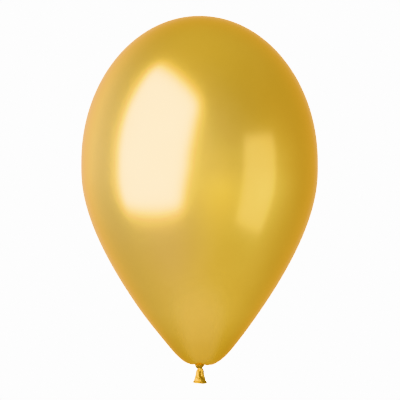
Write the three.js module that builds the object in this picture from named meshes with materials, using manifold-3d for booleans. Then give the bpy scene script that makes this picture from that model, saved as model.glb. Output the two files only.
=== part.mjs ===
// A round latex balloon, inflated and closed with an overhand knot in its own neck.
//
// One dipped film makes the whole balloon: the inflated body narrows to a short neck, the neck is knotted
// close under the body, and its free end hangs below as a flattened tail with a rolled bead at the mouth.
// The film is divided here where it bends, so each stretch is a piece of its own. The pieces turn about
// three points on the axis: the middle of the knot, the ball inside the knot that the tail hangs from,
// and the knuckle just under it, across which the tail folds.
//
// Millimetres, +Z up. The origin is on the axis in the tie groove, the narrow waist under the knot where a
// ribbon is tied. The tail's wide side faces the front, -Y.

import * as THREE from "three";
import { mergeVertices } from "three/addons/utils/BufferGeometryUtils.js";
import Module from "manifold-3d";

const wasm = await Module();
wasm.setup();

// ---- Driving dimensions -------------------------------------------------------------------------------

const clearance = 0.33; // gap between pieces that meet

// Inflated body: a half ellipse over a tapering foot
const bodyRadius = 140;
const crownRise = 172.5; // from the widest level up to the crown
const bodyDrop = 240.6; // from the widest level down to the lowest ring
const filmWall = 0.01; // the film is stretched to about a twentieth of its dipped thickness
const footRadius = 39.6; // where the taper turns into the rounded foot
const footRise = 22; // height of that place above the lowest ring
const taperAngle = 38; // degrees from vertical, there
const lowestRingRadius = 9.5; // the foot curls up inside this ring, round the knot

// Knot: a ball-shaped lump, pulled close under the body
const knotRadius = 5.8;
const knotHeight = 4.6; // centre of the knot above the tie groove
const knotFoot = 0.25; // underside of the knot
const turnHeight = 2.2; // height of the visible turn of neck
const collarWall = 1.1;
const collarTop = 3.6; // above the centre of the knot

// Tail: the free end of the neck
const headRadius = 3.3; // the tail's ball-shaped end, held in the knot
const headHeight = 1; // its centre
const waistRadius = 2.8; // the narrowest stretch, just under the knot
const throatHalfWidth = 5.5;
const knuckleRadius = 2.2;
const knuckleDrop = 3.3; // its axis below the tie groove
const tailHalfWidth = 7.3; // at the mouth
const tailHalfDepth = 3.9;
const tailLength = 14.4; // from the tie groove down to the end of the film
const tailWall = 0.6; // the neck film is relaxed here and folded on itself
const webThickness = 1.6; // pressed-flat film between the knuckle and the open mouth
const beadRadius = 1.3;

// Facets
const bodyFacets = 40;
const neckFacets = 24;

// ---- Places that follow from them ---------------------------------------------------------------------

const lowestHeight = knotHeight - clearance; // the body's lowest ring lies level with the middle of the knot
const widestHeight = lowestHeight + bodyDrop;
const holeRadius = knotRadius + clearance; // the hole in the foot that the knot fills
const socketRadius = headRadius + clearance;
const turnTop = knotFoot + turnHeight;
const collarBottom = turnTop + clearance;
const strandRadius = knotRadius - collarWall - clearance;
const recessRadius = knuckleRadius + clearance;
const skirtTop = -knuckleDrop - 0.75 * recessRadius;
const webBottom = -knuckleDrop - recessRadius - webThickness;
const beadHeight = -tailLength - clearance - beadRadius;

// ---- Helpers ------------------------------------------------------------------------------------------

const at = (radius, height) => new THREE.Vector2(radius, height);

// Points on the arc of a circle centred on the axis, between two heights
function axisArc(radius, centre, fromHeight, toHeight, steps) {
  const angleOf = (height) => Math.asin(THREE.MathUtils.clamp((height - centre) / radius, -1, 1));
  const from = angleOf(fromHeight);
  const to = angleOf(toHeight);
  return Array.from({ length: steps + 1 }, (_, i) => {
    const angle = from + ((to - from) * i) / steps;
    return at(Math.max(0, radius * Math.cos(angle)), centre + radius * Math.sin(angle));
  });
}

// Evenly spaced heights, both ends included
function levels(from, to, steps) {
  return Array.from({ length: steps + 1 }, (_, i) => from + ((to - from) * i) / steps);
}

// The solid that a profile sweeps round the Z axis. The profile runs up its outside and down its inside.
function turned(profile, facets) {
  return new THREE.LatheGeometry(profile, facets).rotateX(Math.PI / 2);
}

function closedProfile(points) {
  return [...points, points[0].clone()];
}

// Moves a round section outwards to an oval one, keeping the thickness of its wall
function oval(geometry, extraWidth, extraDepth) {
  const p = geometry.getAttribute("position");
  for (let i = 0; i < p.count; i++) {
    const radius = Math.hypot(p.getX(i), p.getY(i));
    if (radius < 1e-6) continue;
    p.setX(i, p.getX(i) * (1 + extraWidth(p.getZ(i)) / radius));
    p.setY(i, p.getY(i) * (1 + extraDepth(p.getZ(i)) / radius));
  }
  return geometry;
}

function toSolid(geometry) {
  const bare = new THREE.BufferGeometry();
  bare.setAttribute("position", geometry.getAttribute("position").clone());
  if (geometry.index) bare.setIndex(geometry.index.clone());
  const merged = mergeVertices(bare, 1e-4);
  return new wasm.Manifold(
    new wasm.Mesh({
      numProp: 3,
      vertProperties: new Float32Array(merged.attributes.position.array),
      triVerts: new Uint32Array(merged.index.array),
    }),
  );
}

function toGeometry(solid) {
  const mesh = solid.getMesh();
  const geometry = new THREE.BufferGeometry();
  geometry.setAttribute("position", new THREE.BufferAttribute(mesh.vertProperties, 3));
  geometry.setIndex(new THREE.BufferAttribute(mesh.triVerts, 1));
  geometry.computeVertexNormals();
  return geometry;
}

// A round bar along X, for the knuckle and for the recess that folds over it
function barAlongX(radius, halfLength, height) {
  const bar = new THREE.CylinderGeometry(radius, radius, 2 * halfLength, neckFacets);
  return bar.rotateZ(Math.PI / 2).translate(0, 0, height);
}

// ---- Materials ----------------------------------------------------------------------------------------

const material = (color, roughness, metalness) =>
  new THREE.MeshStandardMaterial({ color, roughness, metalness });

const stretchedFilm = material(0xd4ad40, 0.25, 0.9);
const gatheredFilm = material(0xc69a2b, 0.35, 0.8);
const rolledFilm = material(0xbd8f24, 0.35, 0.8);

// ---- Pieces -------------------------------------------------------------------------------------------

// Outer face of the inflated film, from the edge of its hole round the foot and up to the crown
function filmOutline() {
  const slope = THREE.MathUtils.degToRad(taperAngle);
  const taper = new THREE.Vector2(Math.sin(slope), Math.cos(slope)); // up and outwards, along the taper
  const foot = at(footRadius, lowestHeight + footRise);
  const lowest = at(lowestRingRadius, lowestHeight);
  const edge = at(holeRadius, knotHeight + clearance);
  const taperPull = 0.71 * bodyDrop;
  const footPull = 0.85 * Math.hypot(footRise, footRadius - lowestRingRadius);

  const curl = new THREE.QuadraticBezierCurve(edge, at(holeRadius, lowestHeight), lowest);
  const round = new THREE.CubicBezierCurve(
    lowest,
    at(lowestRingRadius + 3, lowestHeight),
    foot.clone().addScaledVector(taper, -footPull),
    foot,
  );
  const flank = new THREE.CubicBezierCurve(
    foot,
    foot.clone().addScaledVector(taper, taperPull),
    at(bodyRadius, widestHeight - 0.105 * bodyDrop),
    at(bodyRadius, widestHeight),
  );
  const crown = new THREE.EllipseCurve(0, widestHeight, bodyRadius, crownRise, 0, Math.PI / 2);

  const stretches = [
    [curl, 3],
    [round, 6],
    [flank, 9],
    [crown, 9],
  ];
  const points = stretches.flatMap(([curve, steps], i) => curve.getPoints(steps).slice(i ? 1 : 0));
  points[points.length - 1].x = 0;
  return points;
}

// The same outline, one film wall further in
function inset(outline, wall) {
  return outline.map((p, i) => {
    const before = outline[Math.max(0, i - 1)];
    const after = outline[Math.min(outline.length - 1, i + 1)];
    const along = after.clone().sub(before).normalize();
    if (i === outline.length - 1) return at(0, p.y - wall);
    return at(p.x - along.y * wall, p.y + along.x * wall);
  });
}

function envelope() {
  const outside = filmOutline();
  const inside = inset(outside, filmWall).reverse();
  return turned(closedProfile([...outside, ...inside]), bodyFacets);
}

// The gathered neck between the body and the knot's turn
function neckCollar() {
  const top = knotHeight + collarTop;
  const outside = axisArc(knotRadius, knotHeight, collarBottom, top, 6);
  const inside = axisArc(knotRadius - collarWall, knotHeight, top, collarBottom, 6);
  return turned(closedProfile([...outside, ...inside]), neckFacets);
}

// The turn of neck that the knot shows, wrapped round the tail's head
function knotTurn() {
  const outside = axisArc(knotRadius, knotHeight, knotFoot, turnTop, 4);
  const inside = axisArc(socketRadius, headHeight, turnTop, knotFoot, 3);
  return turned(closedProfile([...outside, ...inside]), neckFacets);
}

// The strand of neck inside the collar, over the tail's head
function neckStrand() {
  const outside = axisArc(strandRadius, knotHeight, collarBottom, knotHeight + collarTop, 6);
  const inside = axisArc(socketRadius, headHeight, headHeight + socketRadius, collarBottom, 4);
  inside[0].x = 0;
  return turned([at(0, inside[0].y), ...inside.slice(1), ...outside, at(0, outside.at(-1).y)], neckFacets);
}

// Ball-shaped head, narrow waist and a flattened end with a knuckle across it
function tailThroat() {
  const headFoot = headHeight - Math.sqrt(headRadius ** 2 - waistRadius ** 2);
  const flareTop = -knuckleDrop / 2 + clearance;
  const share = (z) => THREE.MathUtils.clamp((flareTop - z) / (flareTop + knuckleDrop), 0, 1);
  const extraWidth = (z) => (throatHalfWidth - knuckleRadius) * Math.sin((share(z) * Math.PI) / 2);
  const flare = levels(-knuckleDrop, flareTop, 4).map((z) =>
    at(THREE.MathUtils.lerp(waistRadius - 0.1, knuckleRadius, share(z)), z),
  );
  const head = axisArc(headRadius, headHeight, headFoot, headHeight + headRadius, 8);
  head[head.length - 1].x = 0;
  const profile = [at(0, -knuckleDrop), ...flare, ...head];
  const neck = oval(turned(profile, neckFacets), extraWidth, () => 0);
  const knuckle = barAlongX(knuckleRadius, throatHalfWidth, -knuckleDrop);
  return toGeometry(toSolid(neck).add(toSolid(knuckle)));
}

// The free end of the neck: flat over the knuckle, opening downwards to the mouth
function tailSkirt() {
  const share = (z) => THREE.MathUtils.clamp((skirtTop - z) / (skirtTop + tailLength), 0, 1);
  const depthAt = (z) => knuckleRadius + (tailHalfDepth - knuckleRadius) * share(z);
  const widthAt = (z) => throatHalfWidth + (tailHalfWidth - throatHalfWidth) * share(z);
  const outside = levels(-tailLength, skirtTop, 6).map((z) => at(depthAt(z), z));
  const inside = levels(webBottom, -tailLength, 5).map((z) => at(depthAt(z) - tailWall, z));
  const profile = [at(0, webBottom), ...inside, ...outside, at(0, skirtTop)];
  const sleeve = oval(turned(profile, neckFacets), (z) => widthAt(z) - depthAt(z), () => 0);
  const recess = barAlongX(recessRadius, 2 * tailHalfWidth, -knuckleDrop);
  return toGeometry(toSolid(sleeve).subtract(toSolid(recess)));
}

// The rolled bead round the mouth
function mouthBead() {
  const ringRadius = tailHalfDepth;
  const section = new THREE.EllipseCurve(ringRadius, beadHeight, beadRadius, beadRadius, 0, 2 * Math.PI);
  const ring = turned(closedProfile(section.getPoints(10).slice(0, -1)), neckFacets);
  return oval(ring, () => tailHalfWidth - ringRadius, () => 0);
}

// ---- Assembly -----------------------------------------------------------------------------------------

const balloon = new THREE.Group();

function add(name, geometry, look, parent = balloon) {
  const mesh = new THREE.Mesh(geometry, look);
  mesh.name = name;
  parent.add(mesh);
}

add("envelope", envelope(), stretchedFilm);
add("neck_collar", neckCollar(), gatheredFilm);
add("knot_turn", knotTurn(), gatheredFilm);
add("neck_strand", neckStrand(), gatheredFilm);
add("tail_throat", tailThroat(), gatheredFilm);
add("tail_skirt", tailSkirt(), gatheredFilm);
add("mouth_bead", mouthBead(), rolledFilm);

export default balloon;
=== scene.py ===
import math

import bmesh
import bpy
from bpy.props import FloatProperty, FloatVectorProperty, IntProperty, PointerProperty
from bpy.types import Operator, Panel, PropertyGroup
from mathutils import Matrix, Vector
from mathutils.geometry import interpolate_bezier
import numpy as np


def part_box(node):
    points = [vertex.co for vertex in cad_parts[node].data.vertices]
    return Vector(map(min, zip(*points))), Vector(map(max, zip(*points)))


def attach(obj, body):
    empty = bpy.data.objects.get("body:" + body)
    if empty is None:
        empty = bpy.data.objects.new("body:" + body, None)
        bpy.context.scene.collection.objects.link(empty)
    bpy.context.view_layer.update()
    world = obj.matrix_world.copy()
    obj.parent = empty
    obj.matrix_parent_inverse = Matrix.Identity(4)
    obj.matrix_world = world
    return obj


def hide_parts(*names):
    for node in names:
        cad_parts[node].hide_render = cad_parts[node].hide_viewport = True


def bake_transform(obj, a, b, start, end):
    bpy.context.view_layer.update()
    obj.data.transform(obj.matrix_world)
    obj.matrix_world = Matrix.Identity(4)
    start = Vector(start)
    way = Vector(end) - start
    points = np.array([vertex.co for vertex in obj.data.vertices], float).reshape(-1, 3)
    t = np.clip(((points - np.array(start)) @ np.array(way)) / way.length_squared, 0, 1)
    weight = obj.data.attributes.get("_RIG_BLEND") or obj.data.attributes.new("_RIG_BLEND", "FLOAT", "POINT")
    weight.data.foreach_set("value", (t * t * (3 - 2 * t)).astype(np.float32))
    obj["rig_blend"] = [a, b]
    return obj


bl_info = {
    "name": "Knotted Latex Balloon",
    "version": (1, 0, 0),
    "blender": (4, 5, 0),
    "location": "3D View > Sidebar > Balloon",
    "description": "Makes an inflated latex balloon with its knot, tail and rolled bead",
    "category": "Object",
}

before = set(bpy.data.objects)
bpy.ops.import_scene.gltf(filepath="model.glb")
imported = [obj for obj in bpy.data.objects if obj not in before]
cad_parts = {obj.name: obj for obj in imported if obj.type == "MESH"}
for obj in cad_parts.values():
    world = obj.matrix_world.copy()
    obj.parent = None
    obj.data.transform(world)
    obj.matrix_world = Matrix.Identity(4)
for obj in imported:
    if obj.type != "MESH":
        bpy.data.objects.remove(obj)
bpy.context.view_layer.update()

MM = 0.001
TURN = 2 * math.pi

film_low, film_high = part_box("envelope")

KNOT_MIDDLE = 4.6 * MM  # height of the knot's middle, which the neck twists and bends about


# ---- Sizes and colours that a user would change -------------------------------------------------


class BalloonSizes(PropertyGroup):
    """Sizes of the inflated body"""

    radius: FloatProperty(
        name="Radius",
        description="Half the width of the body at its widest",
        default=(film_high.x - film_low.x) / 2,
        unit="LENGTH",
        subtype="DISTANCE",
    )
    crown_rise: FloatProperty(
        name="Crown Rise",
        description="Height of the crown above the widest level",
        default=172.5 * MM,
        unit="LENGTH",
        subtype="DISTANCE",
    )
    taper: FloatProperty(
        name="Taper",
        description="Slope of the flank from vertical, above the foot",
        default=math.radians(38),
        unit="ROTATION",
        subtype="ANGLE",
    )
    foot_radius: FloatProperty(
        name="Foot Radius",
        description="Radius where the taper turns into the rounded foot",
        default=39.6 * MM,
        unit="LENGTH",
        subtype="DISTANCE",
    )
    foot_rise: FloatProperty(
        name="Foot Rise",
        description="Height of that place above the lowest ring of the film",
        default=22 * MM,
        unit="LENGTH",
        subtype="DISTANCE",
    )
    lowest_ring: FloatProperty(
        name="Lowest Ring",
        description="Radius of the lowest ring, inside which the film curls up to the knot",
        default=9.5 * MM,
        unit="LENGTH",
        subtype="DISTANCE",
    )
    foot_lean: FloatProperty(
        name="Foot Lean",
        description="How far the foot hangs to the right of the knot",
        default=1.3 * MM,
        unit="LENGTH",
        subtype="DISTANCE",
    )
    foot_lift: FloatProperty(
        name="Foot Lift",
        description="How far the foot is drawn up round the knot",
        default=1.3 * MM,
        unit="LENGTH",
        subtype="DISTANCE",
    )
    foot_tilt: FloatProperty(
        name="Foot Tilt",
        description="How much lower the foot hangs on its right, for each unit of distance",
        default=0.035,
        subtype="FACTOR",
    )
    pleat_depth: FloatProperty(
        name="Pleat Depth",
        description="Depth of the creases that run from the knot into the foot",
        default=0.5 * MM,
        unit="LENGTH",
        subtype="DISTANCE",
    )
    film_wall: FloatProperty(
        name="Film Wall",
        description="Thickness given to the stretched film",
        default=0.12 * MM,
        unit="LENGTH",
        subtype="DISTANCE",
    )
    segments: IntProperty(
        name="Segments",
        description="Divisions of the film round its axis",
        default=192,
        min=48,
    )


class NeckSizes(PropertyGroup):
    """Sizes of the knot and the tail"""

    ring_radius: FloatProperty(
        name="Knot Radius",
        description="Radius of the turn of neck, to the middle of its strand",
        default=3.2 * MM,
        unit="LENGTH",
        subtype="DISTANCE",
    )
    strand_radius: FloatProperty(
        name="Strand Radius",
        description="Radius of the gathered strand that is knotted",
        default=2.5 * MM,
        unit="LENGTH",
        subtype="DISTANCE",
    )
    waist_radius: FloatProperty(
        name="Waist Radius",
        description="Radius of the tie groove under the knot",
        default=2.8 * MM,
        unit="LENGTH",
        subtype="DISTANCE",
    )
    flare: FloatProperty(
        name="Flare",
        description="How much wider the tail becomes to each side, for each unit of its length",
        default=0.235,
        subtype="FACTOR",
    )
    tail_length: FloatProperty(
        name="Tail Length",
        description="From the tie groove to the end of the film",
        default=14.7 * MM,
        unit="LENGTH",
        subtype="DISTANCE",
    )
    tail_wall: FloatProperty(
        name="Tail Wall",
        description="Thickness of the unstretched film",
        default=0.25 * MM,
        unit="LENGTH",
        subtype="DISTANCE",
    )
    bead_radius: FloatProperty(
        name="Bead Radius",
        description="Radius of the rolled bead's section",
        default=1.35 * MM,
        unit="LENGTH",
        subtype="DISTANCE",
    )
    bead_tilt: FloatProperty(
        name="Bead Tilt",
        description="How far the bead's left end stands above its right end",
        default=0.7 * MM,
        unit="LENGTH",
        subtype="DISTANCE",
    )


def colour(name, description, default):
    """A colour property, in linear light"""
    return FloatVectorProperty(
        name=name,
        description=description,
        default=default,
        size=3,
        subtype="COLOR",
        min=0,
        max=1,
    )


class FilmColours(PropertyGroup):
    """Colours of the pearl gold film"""

    stretched: colour("Stretched Film", "The film where it is blown thin", (1.0, 0.68, 0.16))
    dense: colour("Dense Film", "The film where it is less stretched", (0.82, 0.5, 0.07))
    relaxed: colour("Relaxed Film", "The neck, the knot and the tail", (0.56, 0.33, 0.04))
    edge: colour("Edge Tint", "Tint of the film seen at a slant", (1.0, 0.76, 0.4))


# ---- Making meshes ------------------------------------------------------------------------------


def ease(low, high, value):
    """0 below low, 1 above high, and smooth between"""
    t = min(max((value - low) / (high - low), 0), 1)
    return t * t * (3 - 2 * t)


def bend(start, lead, trail, end, steps):
    """Points of a curve from start to end, drawn towards lead and trail"""
    corners = [Vector((r, z, 0)) for r, z in (start, lead, trail, end)]
    return [(p.x, p.y) for p in interpolate_bezier(*corners, steps + 1)]


def crease(angle, count, wander):
    """A gathered film's outline round its axis, from -1 in the valleys to 1 on the folds"""
    wobble = 0.55 * math.sin(2 * angle + wander) + 0.35 * math.sin(3 * angle - 2 * wander)
    return 1 - 2 * math.hypot(0.12, math.sin(count * angle / 2 + wobble))


RING_LAYER = "ring"  # holds the number of the ring that a vertex is on
MERGE_DISTANCE = 1e-7  # vertices nearer than this are one


def spun(outline, segments):
    """A surface turned about Z from points (radius, height), with its rings numbered"""
    bm = bmesh.new()
    rings = bm.verts.layers.float.new(RING_LAYER)
    line = []
    for i, (r, z) in enumerate(outline):
        vert = bm.verts.new((r, 0, z))
        vert[rings] = i
        line.append(vert)
    edges = [bm.edges.new(pair) for pair in zip(line, line[1:])]
    bmesh.ops.spin(
        bm,
        geom=line + edges,
        cent=(0, 0, 0),
        axis=(0, 0, 1),
        angle=TURN,
        steps=segments,
        use_merge=True,
    )
    bmesh.ops.remove_doubles(bm, verts=bm.verts, dist=MERGE_DISTANCE)
    face_outwards(bm)
    return bm


def spun_circle(ring_radius, section_radius, around, steps, angle, closed):
    """An upright circle turned about Z. Its vertices follow each other, circle by circle"""
    bm = bmesh.new()
    section = Matrix.Translation((ring_radius, 0, 0)) @ Matrix.Rotation(math.pi / 2, 4, "X")
    bmesh.ops.create_circle(bm, segments=around, radius=section_radius, matrix=section)
    bmesh.ops.spin(
        bm,
        geom=list(bm.verts) + list(bm.edges),
        cent=(0, 0, 0),
        axis=(0, 0, 1),
        angle=angle,
        steps=steps,
        use_merge=closed,
    )
    return bm


def face_outwards(bm):
    """Turns the faces away from the axis"""
    bmesh.ops.recalc_face_normals(bm, faces=bm.faces)
    outward = 0
    for face in bm.faces:
        middle = face.calc_center_median()
        outward += face.calc_area() * face.normal.dot(Vector((middle.x, middle.y, 0)))
    if outward < 0:
        bmesh.ops.reverse_faces(bm, faces=bm.faces)


def keep_rings(bm, first, last):
    """A copy of the surface, cut down to the faces between two rings"""
    part = bm.copy()
    rings = part.verts.layers.float[RING_LAYER]
    outside = [
        face
        for face in part.faces
        if not all(first - 0.5 < vert[rings] < last + 0.5 for vert in face.verts)
    ]
    bmesh.ops.delete(part, geom=outside, context="FACES")
    return part


def finish_piece(name, bm, material, wall=0):
    """Turns a bmesh into a smooth-shaded object, with its wall added on the inside"""
    mesh = bpy.data.meshes.new(name)
    bm.to_mesh(mesh)
    bm.free()
    mesh.polygons.foreach_set("use_smooth", [True] * len(mesh.polygons))
    mesh.materials.append(material)
    piece = bpy.data.objects.new(name, mesh)
    bpy.context.scene.collection.objects.link(piece)
    if wall:
        thicken = piece.modifiers.new("wall", "SOLIDIFY")
        thicken.thickness = wall
        thicken.offset = -1
    return piece


# ---- Finishes -----------------------------------------------------------------------------------


class Nodes:
    """Short calls for building a node tree"""

    def __init__(self, tree):
        self.tree = tree

    def make(self, kind, inputs=None, **settings):
        node = self.tree.nodes.new(kind)
        for key, value in settings.items():
            setattr(node, key, value)
        for key, value in (inputs or {}).items():
            if isinstance(value, bpy.types.NodeSocket):
                self.tree.links.new(value, node.inputs[key])
            else:
                node.inputs[key].default_value = value
        return node

    def math(self, operation, first, second=0.0, third=0.0):
        node = self.make("ShaderNodeMath", {0: first, 1: second, 2: third}, operation=operation)
        return node.outputs[0]

    def distance(self, first, second):
        node = self.make("ShaderNodeVectorMath", {0: first, 1: second}, operation="DISTANCE")
        return node.outputs["Value"]

    def scaled(self, where, scale):
        return self.make("ShaderNodeMapping", {"Vector": where, "Scale": scale}).outputs[0]

    def span(self, value, low, high, out_low=0.0, out_high=1.0):
        node = self.make(
            "ShaderNodeMapRange",
            {
                "Value": value,
                "From Min": low,
                "From Max": high,
                "To Min": out_low,
                "To Max": out_high,
            },
            interpolation_type="SMOOTHSTEP",
        )
        return node.outputs["Result"]

    def noise(self, where, scale, detail=2.0, roughness=0.5):
        node = self.make(
            "ShaderNodeTexNoise",
            {"Vector": where, "Scale": scale, "Detail": detail, "Roughness": roughness},
        )
        return node.outputs["Fac"]

    def blend(self, share, first, second, mode="MIX"):
        node = self.make("ShaderNodeMix", data_type="RGBA", blend_type=mode)
        for socket, value in ((0, share), (6, first), (7, second)):
            if isinstance(value, bpy.types.NodeSocket):
                self.tree.links.new(value, node.inputs[socket])
            else:
                node.inputs[socket].default_value = value
        return node.outputs[2]

    def dimmed(self, colour, share):
        grey = self.make("ShaderNodeCombineColor", {0: share, 1: share, 2: share})
        return self.blend(1.0, colour, grey.outputs[0], "MULTIPLY")


FLAKES_PER_METRE = 1900.0
CLOUDS_PER_METRE = 26.0


def pearl_film(name, base, metal, roughness, coat, edge_tint, colour_of, relief_of):
    """A pearl film: fine metal flake in rubber under a smooth skin.

    colour_of is given the nodes, the object coordinates and sockets for the flake and the cloud, and
    returns a socket for the colour. relief_of is given all but the cloud, and returns one for the relief
    in metres.
    """
    material = bpy.data.materials.new(name)
    material.use_nodes = True
    material.diffuse_color = (*base, 1)
    tree = material.node_tree
    nodes = Nodes(tree)
    shader = tree.nodes["Principled BSDF"]
    place = nodes.make("ShaderNodeTexCoord").outputs["Object"]

    flake = nodes.noise(place, FLAKES_PER_METRE, 1.0)
    cloud = nodes.noise(place, CLOUDS_PER_METRE, 3.0)
    flake_rough, cloud_rough = 0.05, 0.04
    smoothest = roughness - (flake_rough + cloud_rough) / 2
    grain = nodes.math("MULTIPLY_ADD", flake, flake_rough, smoothest)
    rough = nodes.math("MULTIPLY_ADD", cloud, cloud_rough, grain)
    relief = relief_of(nodes, place, flake)
    bump = nodes.make("ShaderNodeBump", {"Strength": 1.0, "Distance": 1.0, "Height": relief})

    tree.links.new(colour_of(nodes, place, flake, cloud), shader.inputs["Base Color"])
    tree.links.new(rough, shader.inputs["Roughness"])
    tree.links.new(bump.outputs["Normal"], shader.inputs["Normal"])
    shader.inputs["Metallic"].default_value = metal
    shader.inputs["Specular Tint"].default_value = (*edge_tint, 1)
    shader.inputs["Coat Weight"].default_value = coat
    shader.inputs["Coat Roughness"].default_value = 0.75 * roughness
    return material


def stretched_film():
    """The blown film: even over the body, denser at the crown and towards the knot"""
    made = bpy.data.materials.get("stretched_pearl_film")
    if made:
        return made
    tones = bpy.context.scene.balloon_colours

    def tone(nodes, place, flake, cloud):
        height = nodes.make("ShaderNodeSeparateXYZ", {0: place}).outputs[2]
        from_crown = nodes.distance(place, (0, 0, film_high.z))
        crown_spot = nodes.span(from_crown, 30 * MM, 9 * MM, 0.0, 0.6)
        foot = nodes.span(height, 75 * MM, 2 * MM, 0.0, 0.8)
        swirl = nodes.span(cloud, 0.35, 0.65, 0.0, 0.07)
        dense = nodes.math("ADD", nodes.math("MAXIMUM", crown_spot, foot), swirl)
        body = nodes.blend(dense, (*tones.stretched, 1), (*tones.dense, 1))
        from_knot = nodes.distance(place, (0, 0, 4 * MM))
        unblown = nodes.span(from_knot, 19 * MM, 9 * MM)
        body = nodes.blend(unblown, body, (*tones.relaxed, 1))
        return nodes.dimmed(body, nodes.span(flake, 0.3, 0.7, 0.93, 1.0))

    def relief(nodes, place, flake):
        stretch = nodes.noise(nodes.scaled(place, (70, 70, 5)), 1.0, 2.0)
        long_lines = nodes.math("MULTIPLY", stretch, 0.05 * MM)
        specks = nodes.math("MULTIPLY", flake, 0.0006 * MM)
        return nodes.math("ADD", long_lines, specks)

    return pearl_film(
        "stretched_pearl_film",
        tones.stretched,
        metal=1.0,
        roughness=0.2,
        coat=0.42,
        edge_tint=tones.edge,
        colour_of=tone,
        relief_of=relief,
    )


def relaxed_film(name, depth):
    """The unblown film of the neck: denser, satin, with fine wrinkles of the given depth"""
    tones = bpy.context.scene.balloon_colours

    def tone(nodes, place, flake, cloud):
        fold = nodes.noise(place, 420.0, 3.0)
        share = nodes.span(fold, 0.3, 0.7, 0.0, 0.45)
        deeper = tuple(0.72 * value for value in tones.relaxed)
        body = nodes.blend(share, (*tones.relaxed, 1), (*deeper, 1))
        return nodes.dimmed(body, nodes.span(flake, 0.3, 0.7, 0.9, 1.0))

    def relief(nodes, place, flake):
        wrinkle = nodes.noise(nodes.scaled(place, (900, 900, 160)), 1.0, 3.0)
        wrinkles = nodes.math("MULTIPLY", wrinkle, depth)
        specks = nodes.math("MULTIPLY", flake, 0.001 * MM)
        return nodes.math("ADD", wrinkles, specks)

    return pearl_film(
        name,
        tones.relaxed,
        metal=0.45,
        roughness=0.45,
        coat=0.3,
        edge_tint=tones.edge,
        colour_of=tone,
        relief_of=relief,
    )


# ---- The film, from inside the knot up to the crown ----------------------------------------------

# Steps along the film, from inside the knot to the crown
GATHER_RINGS = 14  # to the top of the groove round the knot
CURL_RINGS = 12  # down to the lowest ring
FOOT_RINGS = 20
FLANK_RINGS = 44
CROWN_RINGS = 44

KNOT_END = (2.0 * MM, 3.2 * MM)  # radius and height of the film's end inside the knot
GROOVE = (5.3 * MM, 7.1 * MM)  # and of the top of the groove round the knot


def film_outline(sizes):
    """Radius and height along the film, from inside the knot to the crown"""
    lowest = Vector((sizes.lowest_ring, film_low.z + 0.1 * MM))
    foot = Vector((sizes.foot_radius, lowest.y + sizes.foot_rise))
    widest = Vector((sizes.radius, film_high.z - sizes.crown_rise))
    slope = Vector((math.sin(sizes.taper), math.cos(sizes.taper)))
    drop = widest.y - lowest.y
    roundness = 0.85 * math.hypot(sizes.foot_rise, sizes.foot_radius - sizes.lowest_ring)

    gather = bend(KNOT_END, (2.1 * MM, 5.2 * MM), (2.9 * MM, GROOVE[1]), GROOVE, GATHER_RINGS)
    curl = bend(GROOVE, (7.6 * MM, GROOVE[1]), (7.2 * MM, lowest.y), lowest, CURL_RINGS)
    out = lowest + Vector((3 * MM, 0))
    round_foot = bend(lowest, out, foot - slope * roundness, foot, FOOT_RINGS)
    upright = widest - Vector((0, 0.105 * drop))
    flank = bend(foot, foot + slope * 0.71 * drop, upright, widest, FLANK_RINGS)
    crown = []
    for step in range(1, CROWN_RINGS):
        angle = math.pi / 2 * step / CROWN_RINGS
        height = widest.y + sizes.crown_rise * math.sin(angle)
        crown.append((sizes.radius * math.cos(angle), height))
    return gather + curl[1:] + round_foot[1:] + flank[1:] + crown + [(0, film_high.z)]


def make_film(sizes):
    """The whole film as one surface, with its creases and the lean of its foot"""
    bm = spun(film_outline(sizes), sizes.segments)
    bm.normal_update()
    moved_below = 250 * MM
    pleats, wander = 13, 0.7
    moves = []
    for vert in bm.verts:
        if vert.co.z > moved_below:
            continue
        radius = math.hypot(vert.co.x, vert.co.y)
        angle = math.atan2(vert.co.y, vert.co.x)
        fading = (1 - ease(7 * MM, 36 * MM, radius)) ** 1.5
        inside = 0.55 + 0.45 * ease(2 * MM, 5 * MM, radius)
        depth = sizes.pleat_depth * inside * fading
        move = vert.normal * depth * crease(angle, pleats, wander)
        hang = ease(4 * MM, 9 * MM, radius)
        lift = sizes.foot_lift - sizes.foot_tilt * vert.co.x
        move.x += sizes.foot_lean * hang * (1 - ease(12 * MM, moved_below, vert.co.z))
        move.z += lift * hang * (1 - ease(12 * MM, 70 * MM, vert.co.z))
        moves.append((vert, move))
    for vert, move in moves:
        vert.co += move
    return bm


class BALLOON_OT_envelope(Operator):
    """Makes the inflated film, from the groove round the knot to the crown"""

    bl_idname = "balloon.envelope"
    bl_label = "Envelope"

    def execute(self, context):
        sizes = context.scene.balloon_sizes
        film = make_film(sizes)
        part = keep_rings(film, GATHER_RINGS, math.inf)
        film.free()
        envelope = finish_piece("inflated_film", part, stretched_film(), sizes.film_wall)
        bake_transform(envelope, "collar", "envelope", start=(0, 0, 5 * MM), end=(0, 0, 62 * MM))
        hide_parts("envelope")
        return {"FINISHED"}


class BALLOON_OT_gather(Operator):
    """Makes the gathered neck, from inside the knot to the groove round it"""

    bl_idname = "balloon.gather"
    bl_label = "Gathered Neck"

    def execute(self, context):
        sizes = context.scene.balloon_sizes
        film = make_film(sizes)
        part = keep_rings(film, 0, GATHER_RINGS)
        film.free()
        gather = finish_piece("gathered_neck", part, stretched_film(), sizes.film_wall)
        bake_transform(gather, "knot", "collar", start=(0, 0, 2.4 * MM), end=(0, 0, 6.4 * MM))
        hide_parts("neck_collar")
        return {"FINISHED"}


# ---- The knot ------------------------------------------------------------------------------------


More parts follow.
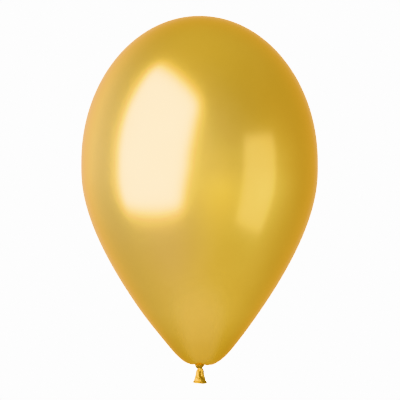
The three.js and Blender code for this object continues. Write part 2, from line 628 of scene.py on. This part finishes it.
class BALLOON_OT_knot(Operator):
    """Makes the turn of twisted neck that is pulled tight as the knot"""

    bl_idname = "balloon.knot"
    bl_label = "Overhand Knot"

    def execute(self, context):
        neck = context.scene.neck_sizes
        around, steps = 32, 96
        sweep = 1.22 * TURN
        folds, twist = 5, 2.1
        bm = spun_circle(neck.ring_radius, neck.strand_radius, around, steps, sweep, False)
        for index, vert in enumerate(bm.verts):
            share = (index // around) / steps
            angle = sweep * share
            radial = Vector((math.cos(angle), math.sin(angle), 0))
            local = Vector((vert.co.dot(radial) - neck.ring_radius, vert.co.z))
            roll = math.atan2(local.y, local.x)

            # 1 along the strand and 0 at its ends, which are thinner and tucked towards the axis
            free = ease(0, 0.16, share) * (1 - ease(0.84, 1, share))
            size = (1 + 0.09 * crease(roll + twist * angle, folds, 0.4)) * (0.72 + 0.28 * free)
            middle = neck.ring_radius * (0.25 + 0.75 * free)

            # the underside hangs and draws in towards the tail
            hang = max(0.0, -local.y / neck.strand_radius)
            local.x -= 0.9 * MM * hang**1.5
            local.y *= 1 + 0.5 * hang

            level = KNOT_MIDDLE - 0.35 * MM
            level += 1.5 * MM * (0.5 - share) + 0.35 * MM * math.sin(2 * angle + 0.6)
            level += (1.4 * MM if share < 0.5 else -0.4 * MM) * (1 - free)
            vert.co = radial * (middle + local.x * size)
            vert.co.z = level + local.y * size
        turn = Matrix.Rotation(math.radians(205), 4, "Z")
        bmesh.ops.transform(bm, matrix=turn, verts=bm.verts)
        bmesh.ops.holes_fill(bm, edges=[e for e in bm.edges if e.is_boundary], sides=0)
        bmesh.ops.recalc_face_normals(bm, faces=bm.faces)
        knot = finish_piece("overhand_knot", bm, relaxed_film("knotted_pearl_film", 0.12 * MM))
        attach(knot, "knot")
        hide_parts("knot_turn", "neck_strand")
        return {"FINISHED"}


# ---- The waist and the tail ----------------------------------------------------------------------


def tail_width(neck, height):
    """Half the tail's width at a height"""
    down = max(-height, 0)
    up = max(height, 0)
    opening = 1.0 * MM * (1 - math.exp(-down / (1.0 * MM))) + neck.flare * down
    return neck.waist_radius + opening - 0.7 * MM * ease(0.3 * MM, 2 * MM, up)


def tail_depth(neck, height):
    """Half the tail's depth, front to back, at a height"""
    if height > 0:
        return tail_width(neck, height)
    down = -height / neck.tail_length
    return neck.waist_radius + 0.3 * MM * ease(0, 0.2, down) + 1.0 * MM * down**2


TAIL_RINGS = 74
TAIL_TOP = 2.0 * MM  # where the sleeve begins, inside the knot
PINCH = ((0, 0.4 * MM), (0.9 * MM, 0.7 * MM), (1.7 * MM, 1.5 * MM))  # closes it above that


def fold_shift(x, down, sine, open_share):
    """How far the folds push the tail's film to the back, at a place across and down it"""
    ridge = -1.9 * MM + 5.2 * MM * ease(0.5, 1.0, down)  # crosses the front from left to right
    beside = (x - ridge) / (2.6 * MM if x > ridge else 5.0 * MM)
    front = max(0.0, 1 - abs(beside)) * 1.5 * MM * ease(-0.05, -0.5, sine)
    valley = math.exp(-(((x - ridge - 3.2 * MM) / (1.7 * MM)) ** 2)) * 1.0 * MM
    valley *= ease(-0.05, -0.5, sine)
    back = max(0.0, 1 - abs(x + ridge * 0.6) / (4 * MM)) * 1.0 * MM * ease(0.05, 0.5, sine)
    return open_share * (back - front + valley)


def make_tail_film(neck):
    """The film from inside the knot, where it is pinched shut, down to the mouth"""
    drop = TAIL_TOP + neck.tail_length
    heights = [TAIL_TOP - drop * i / TAIL_RINGS for i in range(TAIL_RINGS + 1)]
    bm = spun([*PINCH, *((neck.waist_radius, height) for height in heights)], 144)
    rings = bm.verts.layers.float[RING_LAYER]
    for vert in bm.verts:
        if vert[rings] < len(PINCH) - 0.5:
            continue
        height = vert.co.z
        angle = math.atan2(vert.co.y, vert.co.x)
        sine = math.sin(angle)
        down = min(max(-height / neck.tail_length, 0), 1)

        # gathers under the knot, which fade out down the tail
        gathers = 0.15 * (1 - 0.85 * ease(0.05, 0.7, down))
        gathers *= ease(2.2 * MM, 1.2 * MM, height)
        size = 1 + gathers * crease(angle + 0.6 * down, 8, 1.1 + 0.9 * down)

        # the flattened tail, folded across its front
        open_share = ease(0.0, 0.35, down) * (1 - 0.5 * ease(0.75, 1, down))
        flatness = 1 - 0.5 * open_share * ease(-0.3, 0.4, math.cos(angle))
        x = tail_width(neck, height) * math.cos(angle) * size
        y = tail_depth(neck, height) * math.copysign(abs(sine) ** flatness, sine) * size
        y += fold_shift(x, down, sine, open_share)

        aside = 0.45 * MM + 0.4 * MM * math.exp(-((height / (2.6 * MM)) ** 2))
        tilt = -neck.bead_tilt / 2 * math.cos(angle) * ease(0.55, 1.0, down)
        vert.co = Vector((x + aside, y, height + tilt))
    inner = [v for v in bm.verts if not v.is_boundary and v[rings] > len(PINCH)]
    bmesh.ops.smooth_vert(bm, verts=inner, factor=0.5, use_axis_x=True, use_axis_y=True)
    face_outwards(bm)
    return bm


class BALLOON_OT_tail(Operator):
    """Makes the flattened tail, open at the mouth"""

    bl_idname = "balloon.tail"
    bl_label = "Tail"

    def execute(self, context):
        neck = context.scene.neck_sizes
        finish = relaxed_film("gathered_pearl_film", 0.08 * MM)
        tail = finish_piece("tail_film", make_tail_film(neck), finish, neck.tail_wall)
        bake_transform(tail, "throat", "tail", start=(0, 0, -1.0 * MM), end=(0, 0, -6.2 * MM))
        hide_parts("tail_throat", "tail_skirt")
        return {"FINISHED"}


class BALLOON_OT_bead(Operator):
    """Makes the rolled bead round the mouth"""

    bl_idname = "balloon.bead"
    bl_label = "Rolled Bead"

    def execute(self, context):
        neck = context.scene.neck_sizes
        width = tail_width(neck, -neck.tail_length) - 0.1 * MM
        depth = tail_depth(neck, -neck.tail_length)
        level = -neck.tail_length - 1.3 * MM
        ring_radius = 6 * MM  # only until the ring is laid along the mouth
        bm = spun_circle(ring_radius, neck.bead_radius, 28, 160, TURN, True)
        bmesh.ops.remove_doubles(bm, verts=bm.verts, dist=MERGE_DISTANCE)
        for vert in bm.verts:
            angle = math.atan2(vert.co.y, vert.co.x)
            out = math.hypot(vert.co.x, vert.co.y) - ring_radius
            roll = math.atan2(vert.co.z, out)
            lump = 1 + 0.05 * math.sin(5 * angle + 0.8) + 0.035 * math.sin(11 * angle + 2)
            lump += 0.02 * math.sin(23 * angle)
            rolled_edge = 1 - 0.16 * math.exp(-(((roll - 0.9) / 0.28) ** 2))
            out *= lump * rolled_edge
            height = vert.co.z * lump * rolled_edge * 1.08
            outward = Vector((math.cos(angle) / width, math.sin(angle) / depth, 0)).normalized()
            path = Vector((width * math.cos(angle) + 0.45 * MM, depth * math.sin(angle), level))
            path.z -= neck.bead_tilt / 2 * math.cos(angle)
            path.z += 0.12 * MM * math.sin(2 * angle + 0.5)
            vert.co = path + outward * out + Vector((0, 0, height))
        bmesh.ops.recalc_face_normals(bm, faces=bm.faces)
        bead = finish_piece("rolled_bead", bm, relaxed_film("rolled_pearl_film", 0.1 * MM))
        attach(bead, "tail")
        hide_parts("mouth_bead")
        return {"FINISHED"}


# ---- Studio --------------------------------------------------------------------------------------

CAMERA_PLACE = (0.0005, -1.58, 0.1998)
LENS = 120  # millimetres, on a sensor 36 mm wide

# Corners of the panels, and how far each fades out from its border, as a share of its side. The
# corners were traced back by a mirror calculation from where the highlights lie on the film, then
# adjusted by trial and rounded.
KEY_CORNERS = ((-1.43, -0.22, -0.44), (-0.29, -1.0, -0.38), (0.03, -0.93, 0.93), (-0.77, -0.22, 1.58))
KEY_FADE = 0.14
FILL_CORNERS = ((0.67, -0.89, -0.62), (1.07, -0.29, -0.62), (1.18, -0.36, 0.62), (0.78, -0.96, 0.62))
FILL_FADE = 0.1

# Azimuth, elevation, tightness and tint of the soft glows. The directions are chosen. The tints and
# the even light come from a least-squares fit, later adjusted a little and rounded.
EVEN_LIGHT = (0.5, 0.46, 0.3)
GLOWS = (
    (0, 0, 3, (0.2, 0.25, 0.4)),
    (90, 0, 3, (0.1, 0.05, 0.0)),
    (180, 0, 3, (0.35, 0.25, 0.15)),
    (-90, 0, 3, (0.15, 0.2, 0.55)),
    (0, -90, 3, (0.3, 0.3, 0.2)),
    (0, 90, 3, (0.15, 0.15, 0.1)),
    (-135, 10, 8, (0.3, 0.35, 0.7)),
    (70, -15, 8, (0.2, 0.3, 0.3)),
    (-40, -45, 8, (0.0, 0.0, 0.25)),
    (20, -20, 12, (0.25, 0.25, 0.05)),
)
BACKDROP = (4, 4, 4, 1)  # bright enough to show as plain white

FLOOR_HEIGHT = -1.0
FLOOR_RADIUS = 0.75
FLOOR_SOLID = 0.3  # the floor fades out from this radius to its edge


def towards(azimuth, elevation):
    """A direction. Azimuth 0 is the camera's side and 90 the right"""
    a, e = math.radians(azimuth), math.radians(elevation)
    return Vector((math.sin(a) * math.cos(e), -math.cos(a) * math.cos(e), math.sin(e)))


def panel_light(name, tint, radiance, fade):
    """A glow that adds to what is behind it and fades out towards the panel's border"""
    material = bpy.data.materials.new(name)
    material.use_nodes = True
    material.node_tree.nodes.clear()
    nodes = Nodes(material.node_tree)
    place = nodes.make("ShaderNodeTexCoord").outputs["UV"]
    split = nodes.make("ShaderNodeSeparateXYZ", {0: place}).outputs
    share = 1.0
    for axis in (0, 1):
        aside = nodes.math("ABSOLUTE", nodes.math("SUBTRACT", split[axis], 0.5))
        share = nodes.math("MULTIPLY", nodes.span(aside, 0.5, 0.5 - fade), share)
    strength = nodes.math("MULTIPLY", share, radiance)
    light = nodes.make("ShaderNodeEmission", {"Color": (*tint, 1), "Strength": strength})
    clear = nodes.make("ShaderNodeBsdfTransparent")
    surface = nodes.make("ShaderNodeAddShader", {0: clear.outputs[0], 1: light.outputs[0]})
    nodes.make("ShaderNodeOutputMaterial", {"Surface": surface.outputs[0]})
    return material


def panel(name, corners, tint, radiance, fade):
    """A glowing panel between four corners, which only reflections see"""
    bm = bmesh.new()
    bm.loops.layers.uv.new("UVMap")
    bmesh.ops.create_grid(bm, x_segments=16, y_segments=16, size=0.5, calc_uvs=True)
    low_left, low_right, high_right, high_left = (Vector(corner) for corner in corners)
    for vert in bm.verts:
        across, up = vert.co.x + 0.5, vert.co.y + 0.5
        vert.co = low_left.lerp(low_right, across).lerp(high_left.lerp(high_right, across), up)
    holder = finish_piece(name, bm, panel_light(name, tint, radiance, fade))
    holder.visible_camera = False
    holder.visible_diffuse = False


def studio_world():
    """Even light all round with a few wide, soft glows, and white where the camera looks past"""
    world = bpy.data.worlds.new("studio")
    bpy.context.scene.world = world
    world.use_nodes = True
    tree = world.node_tree
    nodes = Nodes(tree)
    look = nodes.make("ShaderNodeTexCoord").outputs["Generated"]
    total = (*EVEN_LIGHT, 1)
    for azimuth, elevation, tightness, tint in GLOWS:
        centre = {0: look, 1: towards(azimuth, elevation)}
        facing = nodes.make("ShaderNodeVectorMath", centre, operation="DOT_PRODUCT")
        ahead = nodes.math("MAXIMUM", facing.outputs["Value"], 0.0)
        lobe = nodes.math("POWER", ahead, float(tightness))
        total = nodes.blend(1.0, total, nodes.blend(lobe, (0, 0, 0, 1), (*tint, 1)), "ADD")
    seen = nodes.make("ShaderNodeLightPath").outputs["Is Camera Ray"]
    tree.links.new(nodes.blend(seen, total, BACKDROP), tree.nodes["Background"].inputs["Color"])


def studio_camera():
    """Level with the middle of the balloon, in front of it"""
    scene = bpy.context.scene
    lens = bpy.data.cameras.new("camera")
    lens.lens = LENS
    lens.sensor_width = 36
    camera = bpy.data.objects.new("camera", lens)
    camera.location = CAMERA_PLACE
    camera.rotation_euler = (math.pi / 2, 0, 0)
    scene.collection.objects.link(camera)
    scene.camera = camera


def overhead_lamp():
    """A broad, cool lamp that lights the floor and leaves no highlight"""
    light = bpy.data.lights.new("overhead", "AREA")
    light.shape = "DISK"
    light.size = 1.5
    light.energy = 27
    light.color = (0.58, 0.62, 0.9)
    lamp = bpy.data.objects.new("overhead", light)
    lamp.location = (0, 0, 1.6)
    lamp.visible_camera = False
    lamp.visible_glossy = False
    bpy.context.scene.collection.objects.link(lamp)


def pale_paper():
    """Matt pale paper, which fades out at its edge and is clear from below"""
    material = bpy.data.materials.new("pale_floor")
    material.use_nodes = True
    tree = material.node_tree
    nodes = Nodes(tree)
    shader = tree.nodes["Principled BSDF"]
    place = nodes.make("ShaderNodeTexCoord").outputs["Object"]
    fibre = nodes.noise(place, 30.0, 4.0)
    tone = nodes.blend(fibre, (0.92, 0.92, 0.91, 1), (0.95, 0.95, 0.94, 1))
    tree.links.new(tone, shader.inputs["Base Color"])
    shader.inputs["Roughness"].default_value = 0.9
    flat = nodes.make("ShaderNodeVectorMath", {0: place, 1: (1, 1, 0)}, operation="MULTIPLY")
    away = nodes.make("ShaderNodeVectorMath", {0: flat.outputs[0]}, operation="LENGTH")
    faded = nodes.span(away.outputs["Value"], FLOOR_SOLID, FLOOR_RADIUS)
    below = nodes.make("ShaderNodeNewGeometry").outputs["Backfacing"]
    gone = nodes.math("MAXIMUM", faded, below)
    clear = nodes.make("ShaderNodeBsdfTransparent")
    paper = nodes.make("ShaderNodeMixShader", {0: gone, 1: shader.outputs[0], 2: clear.outputs[0]})
    tree.links.new(paper.outputs[0], tree.nodes["Material Output"].inputs["Surface"])
    return material


def pale_floor():
    """A round sheet of paper, well below the balloon"""
    bm = bmesh.new()
    level = Matrix.Translation((0, 0, FLOOR_HEIGHT))
    bmesh.ops.create_circle(bm, cap_ends=True, segments=96, radius=FLOOR_RADIUS, matrix=level)
    finish_piece("floor", bm, pale_paper())


class BALLOON_OT_studio(Operator):
    """Sets up the camera, the lights and the pale floor"""

    bl_idname = "balloon.studio"
    bl_label = "Studio"

    def execute(self, context):
        context.scene.view_settings.view_transform = "Khronos PBR Neutral"
        studio_camera()
        studio_world()
        panel("key_panel", KEY_CORNERS, (1, 1, 1), 7.8, KEY_FADE)
        panel("fill_panel", FILL_CORNERS, (0.7, 0.77, 1), 0.42, FILL_FADE)
        overhead_lamp()
        pale_floor()
        return {"FINISHED"}


# ---- Add-on --------------------------------------------------------------------------------------


class BALLOON_PT_panel(Panel):
    """Lists the balloon's pieces and its sizes"""

    bl_idname = "BALLOON_PT_panel"
    bl_label = "Balloon"
    bl_space_type = "VIEW_3D"
    bl_region_type = "UI"
    bl_category = "Balloon"

    def draw(self, context):
        layout = self.layout
        for step in STEPS:
            layout.operator(step.bl_idname)
        scene = context.scene
        for group in (scene.balloon_sizes, scene.neck_sizes, scene.balloon_colours):
            box = layout.box()
            for key in group.bl_rna.properties.keys():
                if key not in ("rna_type", "name"):
                    box.prop(group, key)


STEPS = (
    BALLOON_OT_envelope,
    BALLOON_OT_gather,
    BALLOON_OT_knot,
    BALLOON_OT_tail,
    BALLOON_OT_bead,
    BALLOON_OT_studio,
)
CLASSES = (BalloonSizes, NeckSizes, FilmColours, *STEPS, BALLOON_PT_panel)


def register():
    for cls in CLASSES:
        bpy.utils.register_class(cls)
    bpy.types.Scene.balloon_sizes = PointerProperty(type=BalloonSizes)
    bpy.types.Scene.neck_sizes = PointerProperty(type=NeckSizes)
    bpy.types.Scene.balloon_colours = PointerProperty(type=FilmColours)


def unregister():
    del bpy.types.Scene.balloon_colours
    del bpy.types.Scene.neck_sizes
    del bpy.types.Scene.balloon_sizes
    for cls in reversed(CLASSES):
        bpy.utils.unregister_class(cls)


def main():
    register()
    bpy.ops.balloon.envelope()
    bpy.ops.balloon.gather()
    bpy.ops.balloon.knot()
    bpy.ops.balloon.tail()
    bpy.ops.balloon.bead()
    bpy.ops.balloon.studio()


if __name__ == "__main__":
    main()
